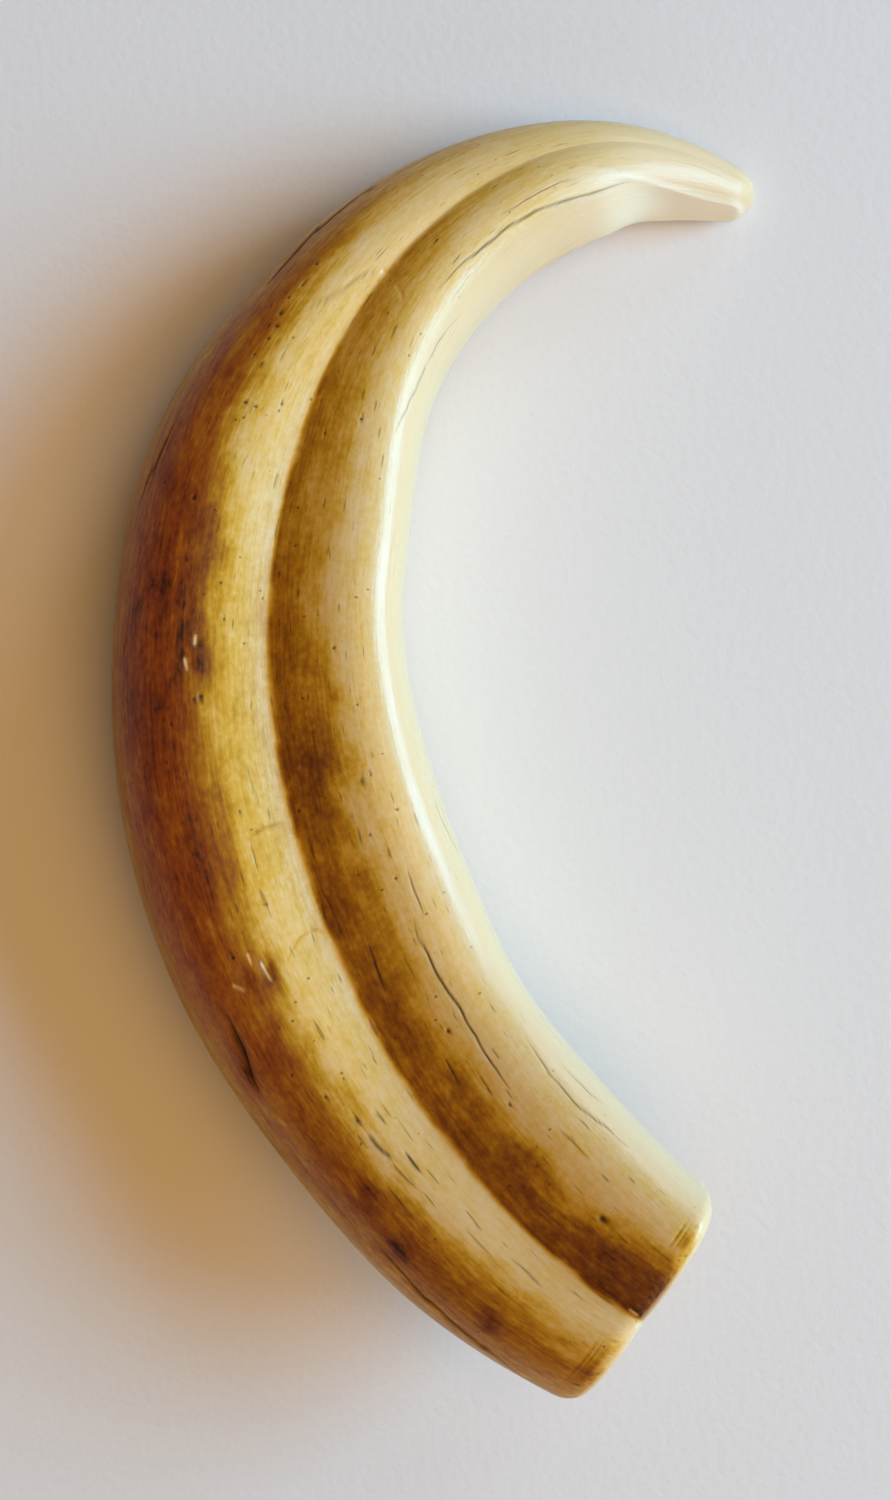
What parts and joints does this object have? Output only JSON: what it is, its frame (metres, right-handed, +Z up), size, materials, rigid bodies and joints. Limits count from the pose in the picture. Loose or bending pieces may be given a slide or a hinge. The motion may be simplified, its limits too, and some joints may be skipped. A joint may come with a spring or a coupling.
{
  "type": "boar tusk",
  "caption": "Polished, strongly curved boar tusk with a two-lobed section, a deep lengthwise furrow, a worn tip and a cut, hollow root.",
  "frame": {"origin": "on the surface that the tusk lies on, under the middle of its box", "axes": "+Y from the root towards the tip along the chord of the curve, +X towards the open side of the crescent, +Z up, out of the side with the deep furrow"},
  "size_m": [0.1024, 0.1979, 0.0463],
  "materials": {
    "ivory": "polished tusk ivory, cream on the ridges and honey to brown in the furrow and along the outer curve, with fine lengthwise cracks"
  },
  "bodies": {
    "root": {"tusk": "ivory"}
  },
  "joints": []
}
